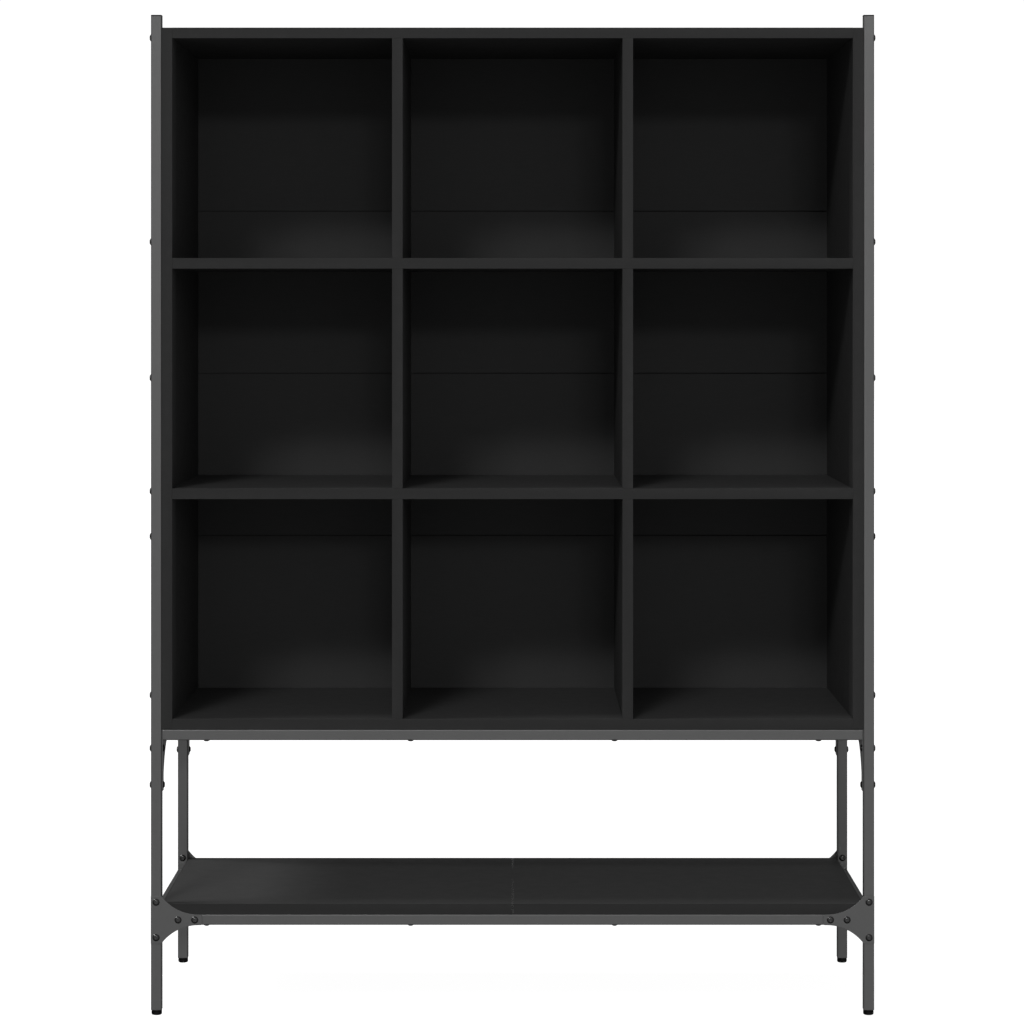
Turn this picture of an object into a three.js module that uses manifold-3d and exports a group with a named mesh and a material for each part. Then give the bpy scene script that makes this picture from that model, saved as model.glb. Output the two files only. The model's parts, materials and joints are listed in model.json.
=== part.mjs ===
// Open bookcase: a case of 15 mm black boards with nine square compartments, carried between four square steel
// posts, over an open bay with a low shelf. The posts are tied by eight rails and eight bolted corner gussets,
// and each stands on a screw-in levelling foot.
// Millimetres, +Z up, front towards -Y, origin on the floor under the middle of the bookcase.
import * as THREE from "three";
import { mergeVertices } from "three/addons/utils/BufferGeometryUtils.js";
import Module from "manifold-3d";

// Driving dimensions
const GAP = 0.3; // clearance between pieces that touch
const WIDTH = 1020; // over the posts
const DEPTH = 370; // over the posts
const TUBE = 15; // side of the square steel tube
const TUBE_WALL = 1.5;
const TUBE_CORNER = 1.5; // outer corner radius of the tube
const TUBE_INNER_CORNER = 0.5;
const TUBE_CORNER_STEPS = 1;
const BOARD = 15; // thickness of the case boards and the low shelf
const COMPARTMENT = 310; // clear width and height of each compartment
const COLUMNS = 3;
const ROWS = 3;
const BACK_THICKNESS = 3;
const BACK_BOARDS = 4;
const CASE_BOTTOM = 403;
const POST_ABOVE_CASE = 18;
const LOW_SHELF_TOP = 157.5;

// Levelling feet, inserts and caps
const FOOT_PAD_HEIGHT = 7.2;
const FOOT_PAD_RADIUS = 7.4;
const FOOT_PAD_EDGE = 2; // radius of the pad's lower edge
const FOOT_STUD_RADIUS = 4;
const FOOT_STUD_TOP = 30;
const FOOT_STUD_TIP = 1; // chamfer at the stud's upper end
const FOOT_SEGMENTS = 16;
const BORE_STEPS = 5;
const INSERT_LENGTH = 24;
const PLUG_CORNER = 0.5;
const CAP_HEAD = 1.5;
const CAP_PLUG = 10;

// Gussets and bolts
const PLATE = 1.2;
const LOWER_GUSSET_ARM = 72; // from the outer face of the post to the end of the arm
const LOWER_GUSSET_RUN = 52; // reach of the hollow curve along the rail
const LOWER_GUSSET_RISE = 26; // reach of the hollow curve along the post
const UPPER_GUSSET_ARM = 90;
const UPPER_GUSSET_RUN = 70;
const UPPER_GUSSET_RISE = 48;
const GUSSET_CURVE_STEPS = 4;
const GUSSET_CORNER = 2;
const UPPER_GUSSET_LEG = 87; // from the top of the upper rail down the post
const ARM_BOLTS = [38.5, 62]; // from the outer face of the post
const LOWER_POST_BOLT_RISE = 25; // above and below the lower rail's axis
const UPPER_POST_BOLT_HEIGHTS = [324.5, 376];
const CASE_SCREW_HEIGHTS = [451, 675, 739, 899, 1091, 1379];
const RAIL_SCREW_PLACES = [-432, -144, 144, 432];
const HOLE_RADIUS = 3.3;
const HOLE_SEGMENTS = 8;
const SHANK_RADIUS = 3;
const SHANK_PAST_POST = 3;
const HEAD_RADIUS = 5;
const HEAD_HEIGHT = 2.8;
const HEAD_DOME_STEPS = 4;
const SOCKET_RADIUS = 2.3; // corner radius of the hexagon socket
const SOCKET_DEPTH = 1.5;
const BOLT_SEGMENTS = 12;

// Worked out from the driving dimensions
const CASE_WIDTH = COLUMNS * COMPARTMENT + (COLUMNS + 1) * BOARD;
const CASE_HEIGHT = ROWS * COMPARTMENT + (ROWS + 1) * BOARD;
const CASE_TOP = CASE_BOTTOM + CASE_HEIGHT;
const POST_BOTTOM = FOOT_PAD_HEIGHT + GAP;
const POST_TOP = CASE_TOP + POST_ABOVE_CASE - CAP_HEAD - GAP;
const POST_X = (WIDTH - TUBE) / 2;
const POST_Y = (DEPTH - TUBE) / 2;
const UPPER_RAIL_Z = CASE_BOTTOM - TUBE / 2;
const LOWER_RAIL_Z = LOW_SHELF_TOP - BOARD - TUBE / 2;
const BOARD_PITCH = COMPARTMENT + BOARD;
const TUBE_INSIDE = TUBE - 2 * TUBE_WALL;
const PLUG_SIDE = TUBE_INSIDE - 2 * GAP;

const steel = new THREE.MeshStandardMaterial({ color: 0x505050, roughness: 0.5, metalness: 0.3 });
const boardBlack = new THREE.MeshStandardMaterial({ color: 0x242424, roughness: 0.55, metalness: 0 });
const backBlack = new THREE.MeshStandardMaterial({ color: 0x1e1e1e, roughness: 0.65, metalness: 0 });
const plastic = new THREE.MeshStandardMaterial({ color: 0x101010, roughness: 0.45, metalness: 0 });
const boltBlack = new THREE.MeshStandardMaterial({ color: 0x1a1a1a, roughness: 0.3, metalness: 0.8 });

const wasm = await Module();
wasm.setup();

const bookcase = new THREE.Group();

// A closed geometry as a solid that can be joined and cut
function toSolid(geometry) {
  const bare = geometry.clone();
  bare.deleteAttribute("normal");
  bare.deleteAttribute("uv");
  const merged = mergeVertices(bare);
  return new wasm.Manifold(new wasm.Mesh({
    numProp: 3,
    vertProperties: new Float32Array(merged.attributes.position.array),
    triVerts: new Uint32Array(merged.index.array),
  }));
}

function toGeometry(solid) {
  const mesh = solid.getMesh();
  const geometry = new THREE.BufferGeometry();
  geometry.setAttribute("position", new THREE.BufferAttribute(mesh.vertProperties, 3));
  geometry.setIndex(new THREE.BufferAttribute(mesh.triVerts, 1));
  geometry.computeVertexNormals();
  return geometry;
}

function addMesh(name, geometry, material, x, y, z) {
  const mesh = new THREE.Mesh(geometry, material);
  mesh.name = name;
  mesh.position.set(x, y, z);
  bookcase.add(mesh);
  return mesh;
}

// Square outline centred on the origin, with round corners
function squareOutline(side, radius) {
  const reach = side / 2 - radius;
  const outline = new THREE.Shape();
  outline.absarc(reach, reach, radius, 0, Math.PI / 2);
  outline.absarc(-reach, reach, radius, Math.PI / 2, Math.PI);
  outline.absarc(-reach, -reach, radius, Math.PI, 1.5 * Math.PI);
  outline.absarc(reach, -reach, radius, 1.5 * Math.PI, 2 * Math.PI);
  return outline;
}

function extrude(shape, length, curveSegments) {
  return new THREE.ExtrudeGeometry(shape, { depth: length, bevelEnabled: false, curveSegments });
}

// Square tube along +Z from z = 0, drilled through both walls. A hole is [distance along the tube, "x" or "y"].
function tubeGeometry(length, holes) {
  const outline = squareOutline(TUBE, TUBE_CORNER);
  outline.holes.push(squareOutline(TUBE_INSIDE, TUBE_INNER_CORNER));
  let tube = toSolid(extrude(outline, length, TUBE_CORNER_STEPS));
  for (const [along, across] of holes) {
    const drill = new THREE.CylinderGeometry(HOLE_RADIUS, HOLE_RADIUS, 2 * TUBE, HOLE_SEGMENTS);
    if (across === "x") {
      drill.rotateZ(Math.PI / 2);
    }
    drill.translate(0, 0, along);
    tube = tube.subtract(toSolid(drill));
  }
  return toGeometry(tube);
}

// Outline of a gusset plate: x runs along the rail from the post's outer face, y up from the rail's axis.
// Above and below the rail a hollow curve runs from the post into the rail, and the leg covers the post.
function gussetShape(up, down, arm, run, rise) {
  const half = TUBE / 2;
  const radius = (run ** 2 + rise ** 2) / (2 * rise);
  const steep = Math.atan2(rise - radius, -run) + 2 * Math.PI;
  const curveX = TUBE + run;
  const shape = new THREE.Shape();
  shape.moveTo(0, -down);
  shape.lineTo(TUBE, -down);
  shape.lineTo(TUBE, -half - rise);
  shape.absarc(curveX, -half - radius, radius, -steep, Math.PI / 2, true);
  shape.absarc(arm - GUSSET_CORNER, GUSSET_CORNER - half, GUSSET_CORNER, -Math.PI / 2, 0);
  shape.absarc(arm - GUSSET_CORNER, half - GUSSET_CORNER, GUSSET_CORNER, 0, Math.PI / 2);
  if (up > half) {
    shape.absarc(curveX, half + radius, radius, -Math.PI / 2, steep - 2 * Math.PI, true);
    shape.lineTo(TUBE, up);
  }
  shape.lineTo(0, up);
  return shape;
}

function plateGeometry(shape, holes) {
  for (const [x, y] of holes) {
    const hole = new THREE.Path();
    hole.absarc(x, y, HOLE_RADIUS, 0, 2 * Math.PI, true);
    shape.holes.push(hole);
  }
  const geometry = extrude(shape, PLATE, GUSSET_CURVE_STEPS);
  geometry.translate(0, 0, -PLATE / 2);
  return geometry;
}

// Turns a plate so that its arm points along the given direction and its leg hangs down
function pointArm(mesh, arm) {
  const up = new THREE.Vector3(0, 0, 1);
  const basis = new THREE.Matrix4().makeBasis(arm, up, arm.clone().cross(up));
  mesh.quaternion.setFromRotationMatrix(basis);
}

// Button-head bolt along +Z: the head's flat underside is at z = 0 and the shank runs down to -length
function boltGeometry(length) {
  const profile = [new THREE.Vector2(0, -length), new THREE.Vector2(SHANK_RADIUS, -length)];
  profile.push(new THREE.Vector2(SHANK_RADIUS, 0));
  profile.push(new THREE.Vector2(HEAD_RADIUS, 0));
  for (let step = 1; step < HEAD_DOME_STEPS; step += 1) {
    const angle = (step / HEAD_DOME_STEPS) * (Math.PI / 2);
    profile.push(new THREE.Vector2(HEAD_RADIUS * Math.cos(angle), HEAD_HEIGHT * Math.sin(angle)));
  }
  profile.push(new THREE.Vector2(0, HEAD_HEIGHT));
  const body = new THREE.LatheGeometry(profile, BOLT_SEGMENTS);
  body.rotateX(Math.PI / 2);
  const socket = new THREE.CylinderGeometry(SOCKET_RADIUS, SOCKET_RADIUS, 2 * SOCKET_DEPTH, 6);
  socket.rotateX(Math.PI / 2);
  socket.translate(0, 0, HEAD_HEIGHT);
  return toGeometry(toSolid(body).subtract(toSolid(socket)));
}

// Levelling foot: a round pad with a soft lower edge and a stud that runs up into the insert
function footGeometry() {
  const flat = FOOT_PAD_RADIUS - FOOT_PAD_EDGE;
  const profile = [new THREE.Vector2(0, 0), new THREE.Vector2(flat, 0)];
  for (const turn of [1 / 3, 2 / 3, 1]) {
    const angle = turn * (Math.PI / 2);
    profile.push(new THREE.Vector2(
      flat + FOOT_PAD_EDGE * Math.sin(angle),
      FOOT_PAD_EDGE * (1 - Math.cos(angle)),
    ));
  }
  profile.push(new THREE.Vector2(FOOT_PAD_RADIUS, FOOT_PAD_HEIGHT));
  profile.push(new THREE.Vector2(FOOT_STUD_RADIUS, FOOT_PAD_HEIGHT));
  profile.push(new THREE.Vector2(FOOT_STUD_RADIUS, FOOT_STUD_TOP - FOOT_STUD_TIP));
  profile.push(new THREE.Vector2(FOOT_STUD_RADIUS - FOOT_STUD_TIP, FOOT_STUD_TOP));
  profile.push(new THREE.Vector2(0, FOOT_STUD_TOP));
  const foot = new THREE.LatheGeometry(profile, FOOT_SEGMENTS);
  foot.rotateX(Math.PI / 2);
  return toGeometry(toSolid(foot));
}

// Square plastic plug in the foot of a post, bored through for the stud
function insertGeometry() {
  const shape = squareOutline(PLUG_SIDE, PLUG_CORNER);
  const bore = new THREE.Path();
  bore.absarc(0, 0, FOOT_STUD_RADIUS + GAP, 0, 2 * Math.PI, true);
  shape.holes.push(bore);
  return extrude(shape, INSERT_LENGTH, BORE_STEPS);
}

// Cap on top of a post: a flat head over the tube's end and a plug inside it
function capGeometry() {
  const head = extrude(squareOutline(TUBE, TUBE_CORNER), CAP_HEAD, TUBE_CORNER_STEPS);
  const plug = extrude(squareOutline(PLUG_SIDE, PLUG_CORNER), CAP_PLUG + CAP_HEAD / 2, 1);
  plug.translate(0, 0, -CAP_PLUG);
  return toGeometry(toSolid(head).add(toSolid(plug)));
}

// The four corners of the frame. A corner's signs say which way it lies from the middle.
const corners = [
  { name: "front_left", right: -1, rear: -1 },
  { name: "front_right", right: 1, rear: -1 },
  { name: "rear_left", right: -1, rear: 1 },
  { name: "rear_right", right: 1, rear: 1 },
];

const sideHoles = [...CASE_SCREW_HEIGHTS, ...UPPER_POST_BOLT_HEIGHTS];
const lowerBoltHeights = [LOWER_RAIL_Z - LOWER_POST_BOLT_RISE, LOWER_RAIL_Z + LOWER_POST_BOLT_RISE];
const post = tubeGeometry(POST_TOP - POST_BOTTOM, [
  ...sideHoles.map((height) => [height - POST_BOTTOM, "x"]),
  ...lowerBoltHeights.map((height) => [height - POST_BOTTOM, "y"]),
]);
const foot = footGeometry();
const insert = insertGeometry();
const cap = capGeometry();
const postBolt = boltGeometry(PLATE + GAP + TUBE + SHANK_PAST_POST);

for (const { name, right, rear } of corners) {
  const x = right * POST_X;
  const y = rear * POST_Y;
  addMesh(`${name}_post`, post, steel, x, y, POST_BOTTOM);
  addMesh(`${name}_post_cap`, cap, plastic, x, y, POST_TOP + GAP);
  addMesh(`${name}_foot_insert`, insert, plastic, x, y, POST_BOTTOM);
  addMesh(`${name}_levelling_foot`, foot, plastic, x, y, 0);

  const outward = new THREE.Vector3(0, rear, 0);
  const boltY = rear * (DEPTH / 2 + GAP + PLATE + GAP);
  for (const [place, height] of [["lower", lowerBoltHeights[0]], ["upper", lowerBoltHeights[1]]]) {
    const bolt = addMesh(`${name}_post_bolt_${place}`, postBolt, boltBlack, x, boltY, height);
    bolt.quaternion.setFromUnitVectors(new THREE.Vector3(0, 0, 1), outward);
  }
}

// Rails. Those along X are screwed up into the boards and bolted to the lower gussets; the upper front and rear
// ones stop short of the upper gussets, which lie against the inner faces of the posts.
function crossRail(name, rear, z, end, bolts) {
  const length = 2 * end;
  const holes = RAIL_SCREW_PLACES.map((place) => [place + end, "x"]);
  for (const place of bolts) {
    const fromMiddle = WIDTH / 2 - place;
    holes.push([end - fromMiddle, "y"], [end + fromMiddle, "y"]);
  }
  const rail = addMesh(name, tubeGeometry(length, holes), steel, -end, rear * POST_Y, z);
  rail.rotation.y = Math.PI / 2;
}

function sideRail(name, right, z, bolts) {
  const end = DEPTH / 2 - TUBE - GAP;
  const holes = [];
  for (const place of bolts) {
    const fromMiddle = DEPTH / 2 - place;
    holes.push([end - fromMiddle, "x"], [end + fromMiddle, "x"]);
  }
  const rail = addMesh(name, tubeGeometry(2 * end, holes), steel, right * POST_X, -end, z);
  rail.rotation.x = -Math.PI / 2;
}

const postInnerX = WIDTH / 2 - TUBE;
const upperRailEnd = postInnerX - GAP - PLATE - GAP;
crossRail("lower_front_rail", -1, LOWER_RAIL_Z, postInnerX - GAP, ARM_BOLTS);
crossRail("lower_rear_rail", 1, LOWER_RAIL_Z, postInnerX - GAP, ARM_BOLTS);
crossRail("upper_front_rail", -1, UPPER_RAIL_Z, upperRailEnd, []);
crossRail("upper_rear_rail", 1, UPPER_RAIL_Z, upperRailEnd, []);
sideRail("lower_left_rail", -1, LOWER_RAIL_Z, []);
sideRail("lower_right_rail", 1, LOWER_RAIL_Z, []);
sideRail("upper_left_rail", -1, UPPER_RAIL_Z, ARM_BOLTS);
sideRail("upper_right_rail", 1, UPPER_RAIL_Z, ARM_BOLTS);

// Gussets: T plates over the lower joints, on the front and rear faces, and L plates inside the upper joints
const lowerReach = TUBE / 2 + LOWER_GUSSET_RISE;
const lowerShape = gussetShape(lowerReach, lowerReach, LOWER_GUSSET_ARM, LOWER_GUSSET_RUN, LOWER_GUSSET_RISE);
const lowerPlate = plateGeometry(lowerShape, [
  ...ARM_BOLTS.map((place) => [place, 0]),
  [TUBE / 2, -LOWER_POST_BOLT_RISE],
  [TUBE / 2, LOWER_POST_BOLT_RISE],
]);
const upperDrop = UPPER_GUSSET_LEG - TUBE / 2;
const upperShape = gussetShape(TUBE / 2, upperDrop, UPPER_GUSSET_ARM, UPPER_GUSSET_RUN, UPPER_GUSSET_RISE);
const upperPlate = plateGeometry(upperShape, [
  ...ARM_BOLTS.map((place) => [place, 0]),
  ...UPPER_POST_BOLT_HEIGHTS.map((height) => [TUBE / 2, height - UPPER_RAIL_Z]),
]);
for (const { name, right, rear } of corners) {
  const lowerY = rear * (DEPTH / 2 + GAP + PLATE / 2);
  const lower = addMesh(`${name}_lower_gusset`, lowerPlate, steel, (right * WIDTH) / 2, lowerY, LOWER_RAIL_Z);
  pointArm(lower, new THREE.Vector3(-right, 0, 0));
  const upperX = right * (postInnerX - GAP - PLATE / 2);
  const upper = addMesh(`${name}_upper_gusset`, upperPlate, steel, upperX, (rear * DEPTH) / 2, UPPER_RAIL_Z);
  pointArm(upper, new THREE.Vector3(0, -rear, 0));
}

// A board given by its lowest and highest corners, each face drawn in by half the clearance
function addBoard(name, low, high, material) {
  const size = high.map((value, axis) => value - low[axis] - GAP);
  const middle = high.map((value, axis) => (value + low[axis]) / 2);
  addMesh(name, new THREE.BoxGeometry(...size), material, ...middle);
}

const front = -DEPTH / 2;
const caseRear = DEPTH / 2 - BACK_THICKNESS;
const sideX = CASE_WIDTH / 2;
const insideX = sideX - BOARD;
for (const [name, right] of [["left", -1], ["right", 1]]) {
  const low = Math.min(right * sideX, right * insideX);
  addBoard(`${name}_side_panel`, [low, front, CASE_BOTTOM], [low + BOARD, caseRear, CASE_TOP], boardBlack);
}

// Full-width boards, from the bottom up
["bottom_panel", "lower_shelf", "upper_shelf", "top_panel"].forEach((name, level) => {
  const low = CASE_BOTTOM + level * BOARD_PITCH;
  addBoard(name, [-insideX, front, low], [insideX, caseRear, low + BOARD], boardBlack);
});

// Two dividers in each row of compartments
["bottom", "middle", "top"].forEach((rowName, row) => {
  const low = CASE_BOTTOM + BOARD + row * BOARD_PITCH;
  for (const [sideName, right] of [["left", -1], ["right", 1]]) {
    const middle = (right * BOARD_PITCH) / 2;
    addBoard(
      `${sideName}_divider_${rowName}`,
      [middle - BOARD / 2, front, low],
      [middle + BOARD / 2, caseRear, low + COMPARTMENT],
      boardBlack,
    );
  }
});

// Thin back, in horizontal boards numbered from the bottom
const backHeight = CASE_HEIGHT / BACK_BOARDS;
for (let index = 0; index < BACK_BOARDS; index += 1) {
  const low = CASE_BOTTOM + index * backHeight;
  const rear = DEPTH / 2;
  addBoard(`back_board_${index + 1}`, [-sideX, caseRear, low], [sideX, rear, low + backHeight], backBlack);
}

// Low shelf in two boards that meet in the middle, resting on the lower front and rear rails
for (const [name, low] of [["left", -postInnerX], ["right", 0]]) {
  addBoard(
    `low_shelf_${name}`,
    [low, front, LOW_SHELF_TOP - BOARD],
    [low + postInnerX, DEPTH / 2, LOW_SHELF_TOP],
    boardBlack,
  );
}

export default bookcase;
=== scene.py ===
import json
import math
import random

import bmesh
import bpy
from mathutils import Matrix, Vector
from mathutils.geometry import tessellate_polygon


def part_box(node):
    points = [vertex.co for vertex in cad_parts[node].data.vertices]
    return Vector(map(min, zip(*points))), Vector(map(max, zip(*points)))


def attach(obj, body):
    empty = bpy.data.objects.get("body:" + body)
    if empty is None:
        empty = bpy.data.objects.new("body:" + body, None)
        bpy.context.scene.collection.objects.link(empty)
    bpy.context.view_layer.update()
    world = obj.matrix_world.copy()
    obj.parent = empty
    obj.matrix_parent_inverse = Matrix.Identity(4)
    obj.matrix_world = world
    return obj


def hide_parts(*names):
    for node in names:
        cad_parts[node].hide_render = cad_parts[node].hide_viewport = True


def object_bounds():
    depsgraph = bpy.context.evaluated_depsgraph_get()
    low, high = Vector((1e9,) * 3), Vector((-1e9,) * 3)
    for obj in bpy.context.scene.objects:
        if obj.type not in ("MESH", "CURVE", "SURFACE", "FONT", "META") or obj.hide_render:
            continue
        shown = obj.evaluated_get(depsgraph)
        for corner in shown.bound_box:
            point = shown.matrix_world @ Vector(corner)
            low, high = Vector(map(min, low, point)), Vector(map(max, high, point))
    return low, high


# The finished look of the open bookcase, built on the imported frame: tubes, plates, boards, fasteners, caps
# and feet, with their materials, the studio and the camera. Metres, +Z up, front towards -Y.
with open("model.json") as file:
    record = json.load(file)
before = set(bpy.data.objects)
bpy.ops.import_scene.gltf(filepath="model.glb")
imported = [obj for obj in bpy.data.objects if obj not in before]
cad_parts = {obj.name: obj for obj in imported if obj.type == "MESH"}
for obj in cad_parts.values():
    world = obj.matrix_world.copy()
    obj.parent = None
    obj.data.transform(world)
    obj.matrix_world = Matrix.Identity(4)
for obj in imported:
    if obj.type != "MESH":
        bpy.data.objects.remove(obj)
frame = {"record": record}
cad_low, cad_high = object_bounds()

# Sizes that the frame doesn't give
MM = 0.001
TUBE_CORNER = 1.5 * MM
TUBE_WALL = 1.5 * MM
TUBE_INNER_CORNER = 0.6 * MM
TUBE_END_EDGE = 0.15 * MM
CAP_SEAT = 0.1 * MM
CAP_EDGE = 0.25 * MM
PLUG_CLEARANCE = 0.3 * MM
PLUG_CORNER = 0.5 * MM
PLUG_EDGE = 0.4 * MM
PLUG_DROP = 0.05 * MM
INSERT_CORNER = 0.6 * MM
INSERT_EDGE = 0.3 * MM
BORE_CLEARANCE = 0.3 * MM
BORE_SEGMENTS = 32
CORNER_STEPS = 6
EDGE_STEPS = 3
BOARD_EDGE = 0.3 * MM
BOARD_CORNER = 0.4 * MM
BACK_EDGE = 0.9 * MM
BOARD_CLEARANCE = 0.15 * MM
BAND = 0.9 * MM
BAND_GAP = 0.03 * MM
CORE_EDGE = 0.15 * MM
PLATE_EDGE = 0.25 * MM
LOWER_GUSSET_CURVE = (52 * MM, 26 * MM)
UPPER_GUSSET_CURVE = (70 * MM, 48 * MM)
GUSSET_CORNER = 2 * MM
GUSSET_CURVE_STEPS = 18
HOLE_RADIUS = 3.3 * MM
HEAD_RADIUS = 5 * MM
HEAD_HEIGHT = 2.8 * MM
HEAD_RIM = 0.5 * MM
HEAD_CLEARANCE = 0.1 * MM
SHANK_RADIUS = 3 * MM
SOCKET_APOTHEM = 2 * MM
SOCKET_DEPTH = 1.6 * MM
HEAD_SEGMENTS = 36
HEAD_RINGS = 6
HEAD_LOWER_EDGE = 0.2 * MM
MOUTH_SHARE = 0.56
MOUTH_STEP = 0.05 * MM
RECESS_CONE = 0.3 * MM
SHANK_SEGMENTS = 16
SCREW_RADIUS = 4.4 * MM
SCREW_HEIGHT = 2.6 * MM
CROSS_REACH = 2.2 * MM
CROSS_HALF_WIDTH = 0.55 * MM
CROSS_DEPTH = 1.1 * MM
NAIL_RADIUS = 2.2 * MM
NAIL_HEIGHT = 0.7 * MM
NAIL_CROWN = (0.8, 0.9)
NAIL_INSET = 28 * MM
NAIL_SEGMENTS = 14
NAIL_CLEARANCE = 0.02 * MM
ARM_BOLTS = (38.5 * MM, 62 * MM)
LOWER_POST_BOLTS = 25 * MM
UPPER_POST_BOLTS = (324.5 * MM, 376 * MM)
CASE_SCREWS = (451 * MM, 675 * MM, 739 * MM, 899 * MM, 1091 * MM, 1379 * MM)
RAIL_SCREWS = (-432 * MM, -144 * MM, 144 * MM, 432 * MM)
PAD_EDGE = 2 * MM
PAD_GROOVE = 0.35 * MM
PAD_GROOVE_DEPTH = 1.8 * MM
PAD_GROOVE_WIDTH = 0.3 * MM
PAD_DISH = 0.3 * MM
PAD_DISH_SHARES = (0.45, 0.5)
PAD_TOP_EDGE = 0.3 * MM
PAD_CLEARANCE = 0.3 * MM
STUD_COLLAR = 0.6 * MM
STUD_CLEARANCE = 0.02 * MM
STUD_RADIUS = 4 * MM
THREAD_DEPTH = 0.6 * MM
THREAD_PITCH = 1.25 * MM
THREAD_STEPS = 5
FOOT_SEGMENTS = 40
SHARP_ANGLE = 38

ROOT = "bookcase"
SIDES = (("left", -1), ("right", 1))
ENDS = (("front", -1), ("rear", 1))

turns = random.Random(7)


# ---------------------------------------------------------------- outlines and solids

def arc(x, y, radius, start, end, steps):
    """Points on an arc from one angle to another, in degrees."""
    points = []
    for step in range(steps + 1):
        angle = math.radians(start + (end - start) * step / steps)
        points.append(Vector((x + radius * math.cos(angle), y + radius * math.sin(angle))))
    return points


def rectangle(low, high, radius, steps=CORNER_STEPS):
    """Anticlockwise rectangle with round corners, between two opposite corners."""
    points = arc(high[0] - radius, high[1] - radius, radius, 0, 90, steps)
    points += arc(low[0] + radius, high[1] - radius, radius, 90, 180, steps)
    points += arc(low[0] + radius, low[1] + radius, radius, 180, 270, steps)
    points += arc(high[0] - radius, low[1] + radius, radius, 270, 360, steps)
    return points


def hole(x, y, radius, steps=24):
    """Clockwise circle."""
    return arc(x, y, radius, 360, 360 / steps, steps - 1)


def drawn_in(outline, distance):
    """The closed outline moved towards its left side, which is where the material is."""
    moved = []
    for index, here in enumerate(outline):
        coming = (here - outline[index - 1]).normalized()
        going = (outline[(index + 1) % len(outline)] - here).normalized()
        left = Vector((-coming.y - going.y, coming.x + going.x)).normalized()
        spread = left.dot(Vector((-coming.y, coming.x)))
        moved.append(here + left * distance / spread)
    return moved


def along(axis):
    """Matrix that turns local Z to the frame's axis 0, 1 or 2, and local X and Y to the next two."""
    matrix = Matrix.Identity(4)
    for local, target in enumerate(((axis + 1) % 3, (axis + 2) % 3, axis)):
        for row in range(3):
            matrix[row][local] = 1.0 if row == target else 0.0
    return matrix


def add_strip(mesh, lower, upper):
    """Faces between two rings of the same length."""
    for index in range(len(lower)):
        after = (index + 1) % len(lower)
        mesh.faces.new((lower[index], lower[after], upper[after], upper[index]))


def add_prism(mesh, outlines, low, high, edge, place):
    """A solid between two heights. Its first outline is the outer one, the others are holes, and edge is the
    radius of its round-over at both ends."""
    levels = []
    for step in range(EDGE_STEPS + 1):
        turn = math.pi / 2 * step / EDGE_STEPS
        levels.append((edge * (1 - math.cos(turn)), edge * (1 - math.sin(turn))))
    heights = [(low + rise, inward) for rise, inward in levels]
    heights += [(high - rise, inward) for rise, inward in reversed(levels)]
    ends = {0: [], len(heights) - 1: []}
    for outline in outlines:
        below = None
        for level, (height, inward) in enumerate(heights):
            ring = [mesh.verts.new(place @ p.to_3d() + place.to_3x3() @ Vector((0, 0, height)))
                    for p in drawn_in(outline, inward)]
            if below:
                add_strip(mesh, below, ring)
            if level in ends:
                ends[level].append(ring)
            below = ring
    flat = [[p.to_3d() for p in drawn_in(outline, edge)] for outline in outlines]
    triangles = tessellate_polygon(flat)
    for rings in ends.values():
        vertices = [vertex for ring in rings for vertex in ring]
        for triangle in triangles:
            mesh.faces.new([vertices[index] for index in triangle])


def add_lathe(mesh, profile, segments, place):
    """A solid of revolution about local Z. A profile's radius is a number or a function of the angle."""
    below = None
    for radius, height in profile:
        if radius == 0:
            ring = [mesh.verts.new(place @ Vector((0, 0, height)))]
        else:
            ring = []
            for index in range(segments):
                angle = 2 * math.pi * index / segments
                reach = radius(angle) if callable(radius) else radius
                point = Vector((reach * math.cos(angle), reach * math.sin(angle), height))
                ring.append(mesh.verts.new(place @ point))
        if below and len(below) == len(ring):
            add_strip(mesh, below, ring)
        elif below:
            tip, rim = (below, ring) if len(below) == 1 else (ring, below)
            for index in range(segments):
                mesh.faces.new((tip[0], rim[index], rim[(index + 1) % segments]))
        below = ring


def show(mesh, name, materials, nodes=(), body=ROOT):
    """Turns the mesh into a piece of the bookcase that stands for the given CAD nodes."""
    bmesh.ops.recalc_face_normals(mesh, faces=mesh.faces)
    data = bpy.data.meshes.new(name)
    mesh.to_mesh(data)
    mesh.free()
    for used in materials:
        data.materials.append(used)
    data.polygons.foreach_set("use_smooth", [True] * len(data.polygons))
    data.set_sharp_from_angle(angle=math.radians(SHARP_ANGLE))
    piece = bpy.data.objects.new(name, data)
    bpy.context.scene.collection.objects.link(piece)
    shading = piece.modifiers.new("flat_faces_stay_flat", "WEIGHTED_NORMAL")
    shading.keep_sharp = True
    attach(piece, body)
    if nodes:
        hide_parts(*nodes)
    return piece


# ---------------------------------------------------------------- materials

# The range that fractal noise mostly keeps to, and the pointiness of a sharp outer edge
NOISE_LOW, NOISE_HIGH = 0.3, 0.7
WEAR_STARTS, WEAR_FULL = 0.52, 0.62


def new_material(name, metallic, specular):
    made = bpy.data.materials.new(name)
    made.use_nodes = True
    shader = made.node_tree.nodes["Principled BSDF"]
    shader.inputs["Metallic"].default_value = metallic
    shader.inputs["Specular IOR Level"].default_value = specular
    return made, made.node_tree, shader


def noise(tree, cells_per_metre, detail, stretch=(1, 1, 1)):
    """Fractal noise fixed to the piece."""
    place = tree.nodes.new("ShaderNodeTexCoord")
    scale = tree.nodes.new("ShaderNodeMapping")
    texture = tree.nodes.new("ShaderNodeTexNoise")
    scale.inputs["Scale"].default_value = stretch
    texture.inputs["Scale"].default_value = cells_per_metre
    texture.inputs["Detail"].default_value = detail
    tree.links.new(place.outputs["Object"], scale.inputs["Vector"])
    tree.links.new(scale.outputs["Vector"], texture.inputs["Vector"])
    return texture.outputs["Fac"]


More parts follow.
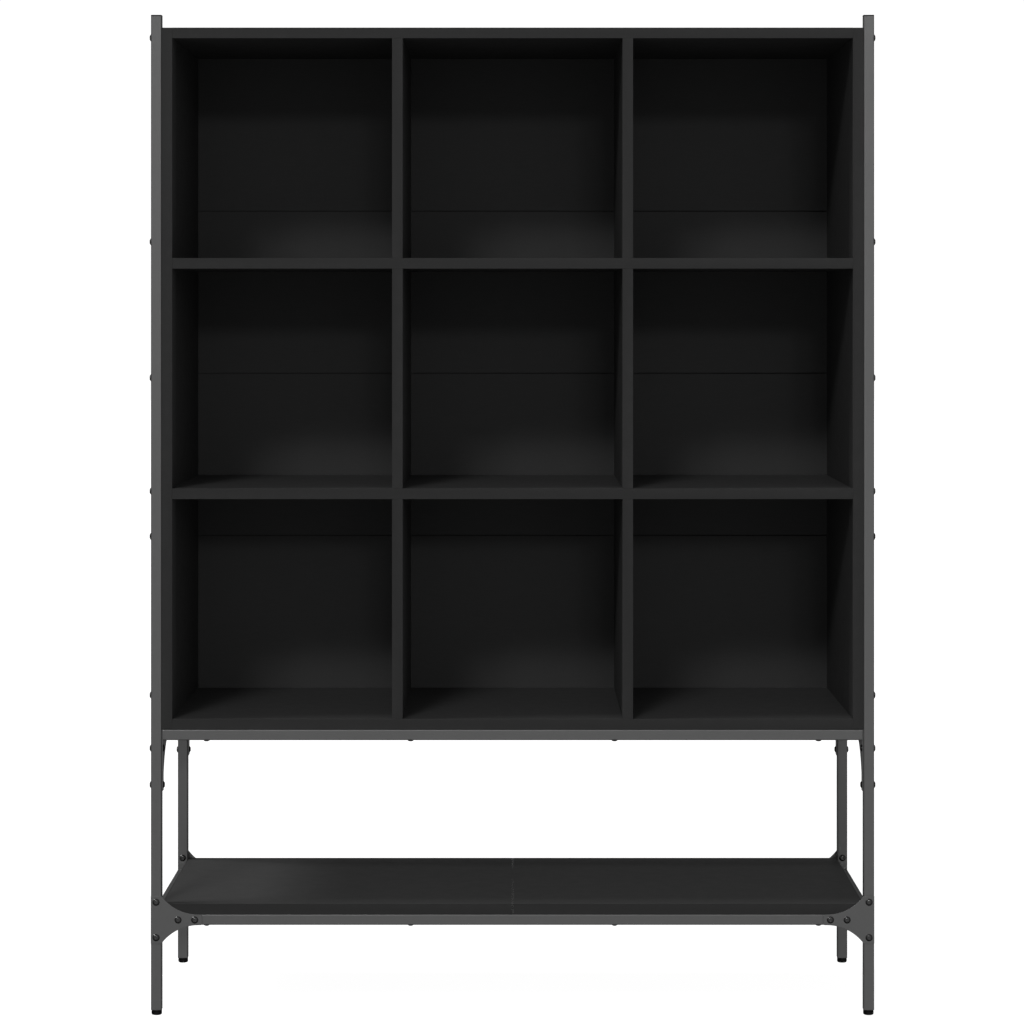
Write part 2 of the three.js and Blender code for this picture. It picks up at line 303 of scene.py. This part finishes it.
def stretched_between(tree, value, low, high):
    """The middle of a noise's range spread over low to high."""
    remap = tree.nodes.new("ShaderNodeMapRange")
    remap.inputs["From Min"].default_value = NOISE_LOW
    remap.inputs["From Max"].default_value = NOISE_HIGH
    remap.inputs["To Min"].default_value = low
    remap.inputs["To Max"].default_value = high
    tree.links.new(value, remap.inputs["Value"])
    return remap.outputs["Result"]


def greys(tree, value, dark, light):
    """Neutral colour that runs from dark to light as the value does over the middle of its range."""
    ramp = tree.nodes.new("ShaderNodeValToRGB")
    ramp.color_ramp.elements[0].position = NOISE_LOW
    ramp.color_ramp.elements[0].color = (dark, dark, dark, 1)
    ramp.color_ramp.elements[1].position = NOISE_HIGH
    ramp.color_ramp.elements[1].color = (light, light, light, 1)
    tree.links.new(value, ramp.inputs["Fac"])
    return ramp.outputs["Color"]


def add_bump(tree, shader, heights):
    """Adds fine relief from heights, each given as (value, strength, depth in metres)."""
    normal = None
    for value, strength, depth in heights:
        bump = tree.nodes.new("ShaderNodeBump")
        bump.inputs["Strength"].default_value = strength
        bump.inputs["Distance"].default_value = depth
        tree.links.new(value, bump.inputs["Height"])
        if normal:
            tree.links.new(normal, bump.inputs["Normal"])
        normal = bump.outputs["Normal"]
    tree.links.new(normal, shader.inputs["Normal"])


def edge_wear(tree, colour, worn, strength):
    """Lightens a colour towards worn along sharp outer edges, unevenly."""
    geometry = tree.nodes.new("ShaderNodeNewGeometry")
    edge = tree.nodes.new("ShaderNodeMapRange")
    edge.inputs["From Min"].default_value = WEAR_STARTS
    edge.inputs["From Max"].default_value = WEAR_FULL
    edge.inputs["To Max"].default_value = strength
    tree.links.new(geometry.outputs["Pointiness"], edge.inputs["Value"])
    amount = tree.nodes.new("ShaderNodeMath")
    amount.operation = "MULTIPLY"
    tree.links.new(edge.outputs["Result"], amount.inputs[0])
    patches = noise(tree, cells_per_metre=60, detail=3)
    tree.links.new(stretched_between(tree, patches, low=0.2, high=1), amount.inputs[1])
    mix = tree.nodes.new("ShaderNodeMix")
    mix.data_type = "RGBA"
    mix.inputs[7].default_value = (worn, worn, worn, 1)
    tree.links.new(amount.outputs["Value"], mix.inputs["Factor"])
    tree.links.new(colour, mix.inputs[6])
    return mix.outputs[2]


def powder_coat():
    """Dark grey powder coat: a pebbled skin with small changes of gloss, thinner on the edges."""
    made, tree, shader = new_material("powder_coat", metallic=0.0, specular=1.0)
    pebbles = noise(tree, cells_per_metre=1500, detail=2)
    flow = noise(tree, cells_per_metre=45, detail=3)
    grey = greys(tree, pebbles, dark=0.032, light=0.040)
    tree.links.new(edge_wear(tree, grey, worn=0.085, strength=0.5), shader.inputs["Base Color"])
    tree.links.new(stretched_between(tree, flow, low=0.385, high=0.42), shader.inputs["Roughness"])
    add_bump(tree, shader, [(pebbles, 0.12, 0.04 * MM), (flow, 0.06, 0.15 * MM)])
    return made


def laminate(name, stretch, dark, light, gloss, specular):
    """Black melamine with a faint grain pressed into it along the board."""
    made, tree, shader = new_material(name, metallic=0.0, specular=specular)
    grain = noise(tree, cells_per_metre=900, detail=3, stretch=stretch)
    pores = noise(tree, cells_per_metre=2600, detail=2, stretch=[0.5 + axis / 2 for axis in stretch])
    mottle = noise(tree, cells_per_metre=60, detail=3)
    tree.links.new(greys(tree, grain, dark, light), shader.inputs["Base Color"])
    tree.links.new(stretched_between(tree, mottle, gloss, gloss + 0.04), shader.inputs["Roughness"])
    add_bump(tree, shader, [(grain, 0.18, 0.05 * MM), (pores, 0.12, 0.03 * MM)])
    return made


def edge_band():
    """Plastic edge strip, a little smoother than the laminate and rubbed lighter at its corners."""
    made, tree, shader = new_material("edge_band", metallic=0.0, specular=0.16)
    skin = noise(tree, cells_per_metre=700, detail=2)
    grey = greys(tree, skin, dark=0.0156, light=0.0168)
    tree.links.new(edge_wear(tree, grey, worn=0.03, strength=0.5), shader.inputs["Base Color"])
    tree.links.new(stretched_between(tree, skin, low=0.42, high=0.5), shader.inputs["Roughness"])
    add_bump(tree, shader, [(skin, 0.1, 0.03 * MM)])
    return made


def moulded_plastic():
    """Black moulded plastic with a spark-eroded surface."""
    made, tree, shader = new_material("moulded_plastic", metallic=0.0, specular=0.12)
    sparks = noise(tree, cells_per_metre=1900, detail=2)
    flow = noise(tree, cells_per_metre=160, detail=2)
    grey = greys(tree, flow, dark=0.002, light=0.004)
    tree.links.new(edge_wear(tree, grey, worn=0.01, strength=0.5), shader.inputs["Base Color"])
    tree.links.new(stretched_between(tree, flow, low=0.34, high=0.42), shader.inputs["Roughness"])
    add_bump(tree, shader, [(sparks, 0.2, 0.05 * MM)])
    return made


def blackened_steel():
    """Black zinc plating on the bolts and screws, worn brighter on the rims."""
    made, tree, shader = new_material("blackened_steel", metallic=0.0, specular=0.68)
    plating = noise(tree, cells_per_metre=800, detail=3)
    grey = greys(tree, plating, dark=0.004, light=0.007)
    tree.links.new(edge_wear(tree, grey, worn=0.03, strength=0.5), shader.inputs["Base Color"])
    tree.links.new(stretched_between(tree, plating, low=0.2, high=0.27), shader.inputs["Roughness"])
    add_bump(tree, shader, [(plating, 0.08, 0.03 * MM)])
    return made


coat = powder_coat()
grain_x = laminate("laminate_grain_x", (0.03, 1, 1), 0.042, 0.049, 0.5, 0.055)
grain_z = laminate("laminate_grain_z", (1, 1, 0.03), 0.042, 0.049, 0.5, 0.055)
back_paint = laminate("back_board_paint", (0.05, 1, 1), 0.0264, 0.0296, 0.6, 0.18)
band = edge_band()
plastic = moulded_plastic()
plated = blackened_steel()


# ---------------------------------------------------------------- tubes, caps, inserts and feet

def show_tube(node):
    """Hollow square tube where the CAD tube is, along its longest side."""
    low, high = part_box(node)
    size = high - low
    axis = max(range(3), key=lambda index: size[index])
    first, second = (axis + 1) % 3, (axis + 2) % 3
    outer = rectangle((low[first], low[second]), (high[first], high[second]), TUBE_CORNER)
    inner = rectangle(
        (low[first] + TUBE_WALL, low[second] + TUBE_WALL),
        (high[first] - TUBE_WALL, high[second] - TUBE_WALL),
        TUBE_INNER_CORNER,
    )
    mesh = bmesh.new()
    add_prism(mesh, [outer, inner[::-1]], low[axis], high[axis], TUBE_END_EDGE, along(axis))
    show(mesh, f"{node}_tube", [coat], [node])


def show_cap(corner):
    """Plastic cap: a soft-edged head on the tube's end and a plug inside it."""
    node = f"{corner}_post_cap"
    low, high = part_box(node)
    tube_low, tube_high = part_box(f"{corner}_post")
    mesh = bmesh.new()
    head = rectangle(low, high, TUBE_CORNER)
    add_prism(mesh, [head], tube_high.z + CAP_SEAT, high.z, CAP_EDGE, along(2))
    wall = TUBE_WALL + PLUG_CLEARANCE
    plug = rectangle(
        (tube_low.x + wall, tube_low.y + wall), (tube_high.x - wall, tube_high.y - wall), PLUG_CORNER,
    )
    add_prism(mesh, [plug], low.z, tube_high.z - PLUG_DROP, PLUG_EDGE, along(2))
    show(mesh, f"{corner}_cap", [plastic], [node])


def show_insert(corner):
    """Square plug in the foot of the post, bored for the levelling stud."""
    node = f"{corner}_foot_insert"
    low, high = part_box(node)
    middle = (low + high) / 2
    mesh = bmesh.new()
    outline = rectangle(low, high, INSERT_CORNER)
    bore = hole(middle.x, middle.y, STUD_RADIUS + BORE_CLEARANCE, BORE_SEGMENTS)
    add_prism(mesh, [outline, bore], low.z, high.z, INSERT_EDGE, along(2))
    show(mesh, f"{corner}_insert", [plastic], [node])


def show_foot(corner):
    """Levelling foot: a round pad with a soft lower edge and a grooved waist, and a threaded stud."""
    node = f"{corner}_levelling_foot"
    low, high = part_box(node)
    middle = (low + high) / 2
    radius = (high.x - low.x) / 2
    pad_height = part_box(f"{corner}_post")[0].z - PAD_CLEARANCE - low.z
    place = Matrix.Translation((middle.x, middle.y, low.z))
    mesh = bmesh.new()
    dish, ring = PAD_DISH_SHARES
    profile = [(0, PAD_DISH), (radius * dish, PAD_DISH), (radius * ring, 0)]
    profile += arc(radius - PAD_EDGE, PAD_EDGE, PAD_EDGE, -90, 0, 6)
    waist = pad_height - PAD_GROOVE_DEPTH
    waist_top = waist + PAD_GROOVE_WIDTH
    profile += [(radius, waist - PAD_GROOVE), (radius - PAD_GROOVE, waist)]
    profile += [(radius - PAD_GROOVE, waist_top), (radius, waist_top + PAD_GROOVE)]
    profile += arc(radius - PAD_TOP_EDGE, pad_height - PAD_TOP_EDGE, PAD_TOP_EDGE, 0, 90, 2)
    profile += [(STUD_RADIUS + STUD_COLLAR, pad_height), (0, pad_height)]
    add_lathe(mesh, profile, FOOT_SEGMENTS, place)
    stud_top = high.z - low.z
    start = pad_height + STUD_CLEARANCE
    rows = [(0, start)]
    count = round((stud_top - start) / THREAD_PITCH * THREAD_STEPS)
    for row in range(count + 1):
        height = start + (stud_top - start) * row / count
        turn = 2 * math.pi * height / THREAD_PITCH
        taper = min(1.0, (stud_top - height) / THREAD_PITCH)

        def ridge(angle, turn=turn, taper=taper):
            wave = abs(((turn - angle) / math.pi) % 2 - 1)
            return STUD_RADIUS - THREAD_DEPTH * (1 - wave * taper)

        rows.append((ridge, height))
    rows.append((0, stud_top))
    add_lathe(mesh, rows, FOOT_SEGMENTS, place)
    show(mesh, f"{corner}_foot_pad", [plastic], [node], f"{corner}_foot")


# ---------------------------------------------------------------- gussets

def gusset_outline(rail_reach, up, down, half, curve):
    """Plate outline: x runs from the post's outer face along the rail, y up from the rail's axis.

    A hollow curve joins the post's inner edge to the rail's edge. It is given by its run along the rail and
    its rise along the post."""
    run, rise = curve
    radius = (run ** 2 + rise ** 2) / (2 * rise)
    sweep = math.degrees(math.asin(run / radius))
    tube = 2 * half
    start = tube + run
    points = [Vector((0, -down)), Vector((tube, -down))]
    if down > half + rise + MM:
        points.append(Vector((tube, -half - rise)))
    points += arc(start, -half - radius, radius, 90 + sweep, 90, GUSSET_CURVE_STEPS)[1:]
    corner = rail_reach - GUSSET_CORNER
    points += arc(corner, GUSSET_CORNER - half, GUSSET_CORNER, -90, 0, 4)
    points += arc(corner, half - GUSSET_CORNER, GUSSET_CORNER, 0, 90, 4)
    if up > half + MM:
        points += arc(start, half + radius, radius, 270, 270 - sweep, GUSSET_CURVE_STEPS)
    points.append(Vector((0, up)))
    return points


def show_gusset(node, rail, arm, outward, bolts, curve):
    """Plate in the node's box. arm is the direction of its long arm and outward points across the plate."""
    low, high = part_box(node)
    rail_low, rail_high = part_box(rail)
    axis_height = (rail_low.z + rail_high.z) / 2
    half = (rail_high.z - rail_low.z) / 2
    size = high - low
    reach = max(size.x, size.y)
    outline = gusset_outline(reach, high.z - axis_height, axis_height - low.z, half, curve)
    holes = [hole(x, z - axis_height, HOLE_RADIUS) for x, z in bolts]
    corner = Vector([low[i] if arm[i] + outward[i] > 0 else high[i] for i in range(3)])
    corner.z = axis_height
    place = Matrix.Identity(4)
    for row in range(3):
        place[row][0] = arm[row]
        place[row][1] = (0, 0, 1)[row]
        place[row][2] = outward[row]
        place[row][3] = corner[row]
    mesh = bmesh.new()
    add_prism(mesh, [outline, *holes], 0, min(size.x, size.y), PLATE_EDGE, place)
    show(mesh, f"{node}_plate", [coat], [node])


# ---------------------------------------------------------------- fasteners

def hexagon(apothem):
    """Radius of a hexagon at an angle."""
    return lambda angle: apothem / math.cos((angle + math.pi / 6) % (math.pi / 3) - math.pi / 6)


def cross(reach, width):
    """Radius of a cross-shaped recess at an angle."""
    def radius(angle):
        off = abs((angle + math.pi / 4) % (math.pi / 2) - math.pi / 4)
        return min(reach / math.cos(off), width / max(math.sin(off), 1e-6), reach)
    return radius


def facing(point, direction):
    """Places a fastener's base at a point, its head towards direction, turned by a chance angle."""
    turn = Matrix.Rotation(turns.uniform(0, 2 * math.pi), 4, "Z")
    return Matrix.Translation(point) @ Vector(direction).to_track_quat("Z", "Y").to_matrix().to_4x4() @ turn


def head_profile(radius, height, recess, depth):
    """Button head from the middle of its underside to the middle of its recess."""
    rim = HEAD_RIM
    profile = [(0, 0), (radius - HEAD_LOWER_EDGE, 0), (radius, HEAD_LOWER_EDGE), (radius, rim)]
    bulge = (radius ** 2 + (height - rim) ** 2) / (2 * (height - rim))
    mouth = radius * MOUTH_SHARE
    for ring in range(1, HEAD_RINGS + 1):
        reach = radius + (mouth - radius) * ring / HEAD_RINGS
        profile.append((reach, height - bulge + math.sqrt(bulge ** 2 - reach ** 2)))
    top = profile[-1][1] + MOUTH_STEP
    profile += [(recess, top), (recess, top - depth), (0, top - depth - RECESS_CONE)]
    return profile


BUTTON = head_profile(HEAD_RADIUS, HEAD_HEIGHT, hexagon(SOCKET_APOTHEM), SOCKET_DEPTH)
SCREW = head_profile(SCREW_RADIUS, SCREW_HEIGHT, cross(CROSS_REACH, CROSS_HALF_WIDTH), CROSS_DEPTH)


def add_bolt(mesh, outer, inner, direction):
    """A bolt from one face to another: a button head on each, and the shank between them."""
    direction = Vector(direction)
    gap = direction * HEAD_CLEARANCE
    add_lathe(mesh, BUTTON, HEAD_SEGMENTS, facing(outer + gap, direction))
    add_lathe(mesh, BUTTON, HEAD_SEGMENTS, facing(inner - gap, -direction))
    length = (outer - inner).length
    shank = [(0, 0), (SHANK_RADIUS, 0), (SHANK_RADIUS, length), (0, length)]
    add_lathe(mesh, shank, SHANK_SEGMENTS, facing(inner, direction))


def show_bolts(corner, right, rear):
    """All fasteners of one corner of the frame."""
    post_low, post_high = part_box(f"{corner}_post")
    post = (post_low + post_high) / 2
    half = (post_high.x - post_low.x) / 2
    side = "right" if right > 0 else "left"
    end = "rear" if rear > 0 else "front"

    plate_low, plate_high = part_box(f"{corner}_lower_gusset")
    rail_low, rail_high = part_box(f"lower_{end}_rail")
    axis_height = (rail_low.z + rail_high.z) / 2
    face = plate_high.y if rear > 0 else plate_low.y
    back = post.y - rear * half
    heights = {"lower": axis_height - LOWER_POST_BOLTS, "upper": axis_height + LOWER_POST_BOLTS}
    for place, height in heights.items():
        mesh = bmesh.new()
        add_bolt(mesh, Vector((post.x, face, height)), Vector((post.x, back, height)), (0, rear, 0))
        node = f"{corner}_post_bolt_{place}"
        show(mesh, f"{node}_and_nut", [plated], [node])
    mesh = bmesh.new()
    outer_x = post.x + right * half
    for reach in ARM_BOLTS:
        x = outer_x - right * reach
        add_bolt(mesh, Vector((x, face, axis_height)), Vector((x, back, axis_height)), (0, rear, 0))
    show(mesh, f"{corner}_lower_rail_bolts", [plated])

    plate_low, plate_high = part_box(f"{corner}_upper_gusset")
    rail_low, rail_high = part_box(f"upper_{side}_rail")
    axis_height = (rail_low.z + rail_high.z) / 2
    inner_x = plate_low.x if right > 0 else plate_high.x
    outer_y = post.y + rear * half
    mesh = bmesh.new()
    for height in UPPER_POST_BOLTS:
        add_bolt(mesh, Vector((outer_x, post.y, height)), Vector((inner_x, post.y, height)), (right, 0, 0))
    for reach in ARM_BOLTS:
        y = outer_y - rear * reach
        add_bolt(mesh, Vector((outer_x, y, axis_height)), Vector((inner_x, y, axis_height)), (right, 0, 0))
    show(mesh, f"{corner}_upper_gusset_bolts", [plated])

    mesh = bmesh.new()
    for height in CASE_SCREWS:
        point = Vector((outer_x + right * HEAD_CLEARANCE, post.y, height))
        add_lathe(mesh, BUTTON, HEAD_SEGMENTS, facing(point, (right, 0, 0)))
    show(mesh, f"{corner}_case_screws", [plated])


def show_rail_screws(node):
    """Cross-recess screws up through a rail into the board above it."""
    low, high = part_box(node)
    middle = (low + high) / 2
    mesh = bmesh.new()
    for x in RAIL_SCREWS:
        point = Vector((x, middle.y, low.z - HEAD_CLEARANCE))
        add_lathe(mesh, SCREW, HEAD_SEGMENTS, facing(point, (0, 0, -1)))
    show(mesh, f"{node}_screws", [plated])


def show_nails(node, columns):
    """Nails round the edge of a back board, driven into the case."""
    low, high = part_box(node)
    nail = [(0, 0), (NAIL_RADIUS - HEAD_LOWER_EDGE, 0), (NAIL_RADIUS, NAIL_HEIGHT / 2)]
    nail += [(NAIL_RADIUS * NAIL_CROWN[0], NAIL_HEIGHT * NAIL_CROWN[1]), (0, NAIL_HEIGHT)]
    mesh = bmesh.new()
    for x in columns:
        for z in (low.z + NAIL_INSET, (low.z + high.z) / 2, high.z - NAIL_INSET):
            point = Vector((x, high.y + NAIL_CLEARANCE, z))
            add_lathe(mesh, nail, NAIL_SEGMENTS, facing(point, (0, 1, 0)))
    show(mesh, f"{node}_nails", [plated])


# ---------------------------------------------------------------- boards

def add_block(mesh, low, high, corner, edge, first_face, material_index):
    """A flat block with soft edges, thin along its shortest side."""
    size = high - low
    axis = min(range(3), key=lambda index: size[index])
    first, second = (axis + 1) % 3, (axis + 2) % 3
    outline = rectangle((low[first], low[second]), (high[first], high[second]), corner, 3)
    add_prism(mesh, [outline], low[axis], high[axis], edge, along(axis))
    mesh.faces.ensure_lookup_table()
    for face in mesh.faces[first_face:]:
        face.material_index = material_index
    return len(mesh.faces)


def full_box(node):
    """A board's box, with the clearance that the frame leaves between boards added back."""
    low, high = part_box(node)
    clearance = Vector((BOARD_CLEARANCE,) * 3)
    return low - clearance, high + clearance


def show_board(node, surface, banded):
    """Board with an edge strip on each banded side, given as (axis, sign)."""
    low, high = full_box(node)
    core_low, core_high = low.copy(), high.copy()
    for axis, sign in banded:
        if sign < 0:
            core_low[axis] += BAND
        else:
            core_high[axis] -= BAND
    mesh = bmesh.new()
    faces = add_block(mesh, core_low, core_high, CORE_EDGE, CORE_EDGE, 0, 0)
    for axis, sign in banded:
        strip_low, strip_high = core_low.copy(), core_high.copy()
        if sign < 0:
            strip_low[axis], strip_high[axis] = low[axis], core_low[axis] - BAND_GAP
        else:
            strip_low[axis], strip_high[axis] = core_high[axis] + BAND_GAP, high[axis]
        faces = add_block(mesh, strip_low, strip_high, BOARD_CORNER, BOARD_EDGE, faces, 1)
    show(mesh, f"{node}_board", [surface, band], [node])


def show_back_board(node):
    low, high = full_box(node)
    mesh = bmesh.new()
    add_block(mesh, low, high, BOARD_CORNER, BACK_EDGE, 0, 0)
    show(mesh, f"{node}_sheet", [back_paint], [node])


# ---------------------------------------------------------------- the bookcase

FRONT, REAR, LEFT, RIGHT, BELOW, ABOVE = (1, -1), (1, 1), (0, -1), (0, 1), (2, -1), (2, 1)

for end, rear in ENDS:
    for side, right in SIDES:
        corner = f"{end}_{side}"
        show_tube(f"{corner}_post")
        show_cap(corner)
        show_insert(corner)
        show_foot(corner)
        lower_low, lower_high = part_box(f"lower_{end}_rail")
        lower_axis = (lower_low.z + lower_high.z) / 2
        tube_half = (lower_high.z - lower_low.z) / 2
        upper_low, upper_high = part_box(f"upper_{side}_rail")
        upper_axis = (upper_low.z + upper_high.z) / 2
        show_gusset(
            f"{corner}_lower_gusset", f"lower_{end}_rail", (-right, 0, 0), (0, rear, 0),
            [(reach, lower_axis) for reach in ARM_BOLTS]
            + [(tube_half, lower_axis + sign * LOWER_POST_BOLTS) for sign in (-1, 1)],
            LOWER_GUSSET_CURVE,
        )
        show_gusset(
            f"{corner}_upper_gusset", f"upper_{side}_rail", (0, -rear, 0), (right, 0, 0),
            [(reach, upper_axis) for reach in ARM_BOLTS]
            + [(tube_half, height) for height in UPPER_POST_BOLTS],
            UPPER_GUSSET_CURVE,
        )
        show_bolts(corner, right, rear)

for level in ("lower", "upper"):
    for place in ("front", "rear", "left", "right"):
        show_tube(f"{level}_{place}_rail")
    for place in ("front", "rear"):
        show_rail_screws(f"{level}_{place}_rail")

for side, _ in SIDES:
    show_board(f"{side}_side_panel", grain_z, [FRONT, ABOVE, BELOW])
    for row in ("bottom", "middle", "top"):
        show_board(f"{side}_divider_{row}", grain_z, [FRONT])
for node in ("bottom_panel", "lower_shelf", "upper_shelf", "top_panel"):
    show_board(node, grain_x, [FRONT])
show_board("low_shelf_left", grain_x, [FRONT, REAR, LEFT, RIGHT])
show_board("low_shelf_right", grain_x, [FRONT, REAR, LEFT, RIGHT])

nail_columns = []
for node in ("left_side_panel", "left_divider_top", "right_divider_top", "right_side_panel"):
    board_low, board_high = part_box(node)
    nail_columns.append((board_low.x + board_high.x) / 2)
for number in (1, 2, 3, 4):
    show_back_board(f"back_board_{number}")
    show_nails(f"back_board_{number}", nail_columns)


# ---------------------------------------------------------------- studio and camera

def add_sun(name, towards, strength, spread):
    """Parallel light that comes from the direction towards, with a soft shadow edge of spread degrees."""
    data = bpy.data.lights.new(name, "SUN")
    data.energy = strength
    data.angle = math.radians(spread)
    light = bpy.data.objects.new(name, data)
    light.rotation_euler = Vector(towards).to_track_quat("Z", "Y").to_euler()
    bpy.context.scene.collection.objects.link(light)
    return light


def plain_floor(height, reach):
    """Pale floor, bright enough to hide all but the softest shadow."""
    made = bpy.data.materials.new("studio_floor")
    made.use_nodes = True
    shader = made.node_tree.nodes["Principled BSDF"]
    shader.inputs["Base Color"].default_value = (FLOOR_GREY, FLOOR_GREY, FLOOR_GREY, 1)
    shader.inputs["Roughness"].default_value = FLOOR_ROUGHNESS
    shader.inputs["Emission Color"].default_value = (1, 1, 1, 1)
    shader.inputs["Emission Strength"].default_value = FLOOR_GLOW
    data = bpy.data.meshes.new("studio_floor")
    square = ((-reach, -reach), (reach, -reach), (reach, reach), (-reach, reach))
    data.from_pydata([(x, y, height) for x, y in square], [], [(0, 1, 2, 3)])
    data.materials.append(made)
    floor = bpy.data.objects.new("studio_floor", data)
    floor.visible_diffuse = False
    floor.visible_glossy = False
    floor.visible_shadow = False
    bpy.context.scene.collection.objects.link(floor)


def lobe(tree, direction, strength):
    """Strength that is full in one direction and falls off with the square of the cosine."""
    place = tree.nodes.new("ShaderNodeTexCoord")
    cosine = tree.nodes.new("ShaderNodeVectorMath")
    cosine.operation = "DOT_PRODUCT"
    cosine.inputs[1].default_value = Vector(direction).normalized()
    tree.links.new(place.outputs["Generated"], cosine.inputs[0])
    ahead = tree.nodes.new("ShaderNodeMath")
    ahead.operation = "MAXIMUM"
    ahead.inputs[1].default_value = 0
    tree.links.new(cosine.outputs["Value"], ahead.inputs[0])
    square = tree.nodes.new("ShaderNodeMath")
    square.operation = "POWER"
    square.inputs[1].default_value = 2
    tree.links.new(ahead.outputs["Value"], square.inputs[0])
    light = tree.nodes.new("ShaderNodeBackground")
    light.inputs["Color"].default_value = (1, 1, 1, 1)
    scaled = tree.nodes.new("ShaderNodeMath")
    scaled.operation = "MULTIPLY"
    scaled.inputs[1].default_value = strength
    tree.links.new(square.outputs["Value"], scaled.inputs[0])
    tree.links.new(scaled.outputs["Value"], light.inputs["Strength"])
    return light.outputs["Background"]


def studio_world(seen, lobes):
    """White surroundings for the camera, and a soft light from a few broad directions for the object."""
    world = bpy.data.worlds.new("studio")
    world.use_nodes = True
    tree = world.node_tree
    backdrop = tree.nodes["Background"]
    backdrop.inputs["Color"].default_value = (1, 1, 1, 1)
    backdrop.inputs["Strength"].default_value = seen
    ambient = None
    for direction, strength in lobes:
        light = lobe(tree, direction, strength)
        if ambient:
            both = tree.nodes.new("ShaderNodeAddShader")
            tree.links.new(ambient, both.inputs[0])
            tree.links.new(light, both.inputs[1])
            light = both.outputs["Shader"]
        ambient = light
    path = tree.nodes.new("ShaderNodeLightPath")
    mix = tree.nodes.new("ShaderNodeMixShader")
    tree.links.new(path.outputs["Is Camera Ray"], mix.inputs["Fac"])
    tree.links.new(ambient, mix.inputs[1])
    tree.links.new(backdrop.outputs["Background"], mix.inputs[2])
    tree.links.new(mix.outputs["Shader"], tree.nodes["World Output"].inputs["Surface"])
    bpy.context.scene.world = world


def direction(azimuth, rise):
    """Direction that far round from the front, positive to the right, rising by an angle in a side view."""
    return (math.tan(math.radians(azimuth)), -1, math.tan(math.radians(rise)))


CAMERA_DISTANCE = 4.415
CAMERA_HEIGHT = 0.9955
CAMERA_LENS = 110.31
CAMERA_SHIFT = -0.00055
CAMERA_LEAN = 0.064688
CAMERA_SENSOR = 36
CAMERA_REACH = 200
BACKDROP_GLOW = 1.05
FLOOR_GREY = 0.2
FLOOR_ROUGHNESS = 0.9
FLOOR_GLOW = 0.97
FLOOR_REACH = 30
AMBIENT = (
    ((0, -1, 0), 0.496),
    ((0, -1, 1), 0.196),
    ((1, -1, 0), 0.177),
    ((-1, -1, 0), 0.104),
    ((0, 1, 0), 0.17),
)

# Key lights: degrees round from the front, degrees up and strength.
# Low fill lights: degrees round from the front and strength.
KEY_LIGHTS = ((-12, 36.5, 0.4), (-16.5, 36, 0.4), (-22, 34, 0.34))
KEY_SPREAD = 6
LOW_FILLS = ((3.4, 0.13), (8, 0.12))
LOW_FILL_RISE = 14.1
LOW_FILL_SPREAD = 4

# Single suns: the direction towards each, and its strength
LEFT_SIDE = ((-1, 0, 1.19), 2.02)
REAR_BOUNCE = ((0, 1, -0.27), 2.5)
RIGHT_BOUNCE = ((1, 0, -0.27), 0.9)
BROAD_SPREAD = 20

front_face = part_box("front_left_post")[0].y
studio_world(BACKDROP_GLOW, AMBIENT)
# The floor lies just under the lowest reach of the feet, so that it never hides them
foot_travel = max(joint["range_m"][1] for joint in frame["record"]["behaviour"]["joints"])
plain_floor(cad_low.z - foot_travel - MM, FLOOR_REACH)
for number, (azimuth, rise, strength) in enumerate(KEY_LIGHTS):
    add_sun(f"key_{number}", direction(azimuth, rise), strength, KEY_SPREAD)
for number, (azimuth, strength) in enumerate(LOW_FILLS):
    add_sun(f"low_fill_{number}", direction(azimuth, LOW_FILL_RISE), strength, LOW_FILL_SPREAD)
add_sun("left_side", *LEFT_SIDE, BROAD_SPREAD)
# The two bounce lights reach the sides that the others leave dark, and stay out of reflections
add_sun("rear_bounce", *REAR_BOUNCE, BROAD_SPREAD).visible_glossy = False
add_sun("right_bounce", *RIGHT_BOUNCE, BROAD_SPREAD).visible_glossy = False

camera_data = bpy.data.cameras.new("camera")
camera_data.lens = CAMERA_LENS
camera_data.sensor_width = CAMERA_SENSOR
camera_data.shift_x = CAMERA_SHIFT
camera_data.clip_end = CAMERA_REACH
camera = bpy.data.objects.new("camera", camera_data)
camera.rotation_euler = (math.pi / 2, 0, 0)
bpy.context.scene.collection.objects.link(camera)
# The camera is level and its picture is lowered by a shear in its stand, not by a lens shift, so that a view
# from another side, which leaves the stand, stays centred
stand = bpy.data.objects.new("camera_stand", None)
stand.location = (0, front_face - CAMERA_DISTANCE, CAMERA_HEIGHT)
bpy.context.scene.collection.objects.link(stand)
falling_front = Matrix.Identity(4)
falling_front[2][1] = -CAMERA_LEAN
camera.parent = stand
camera.matrix_parent_inverse = falling_front
bpy.context.scene.camera = camera
bpy.context.scene.view_settings.view_transform = "Standard"
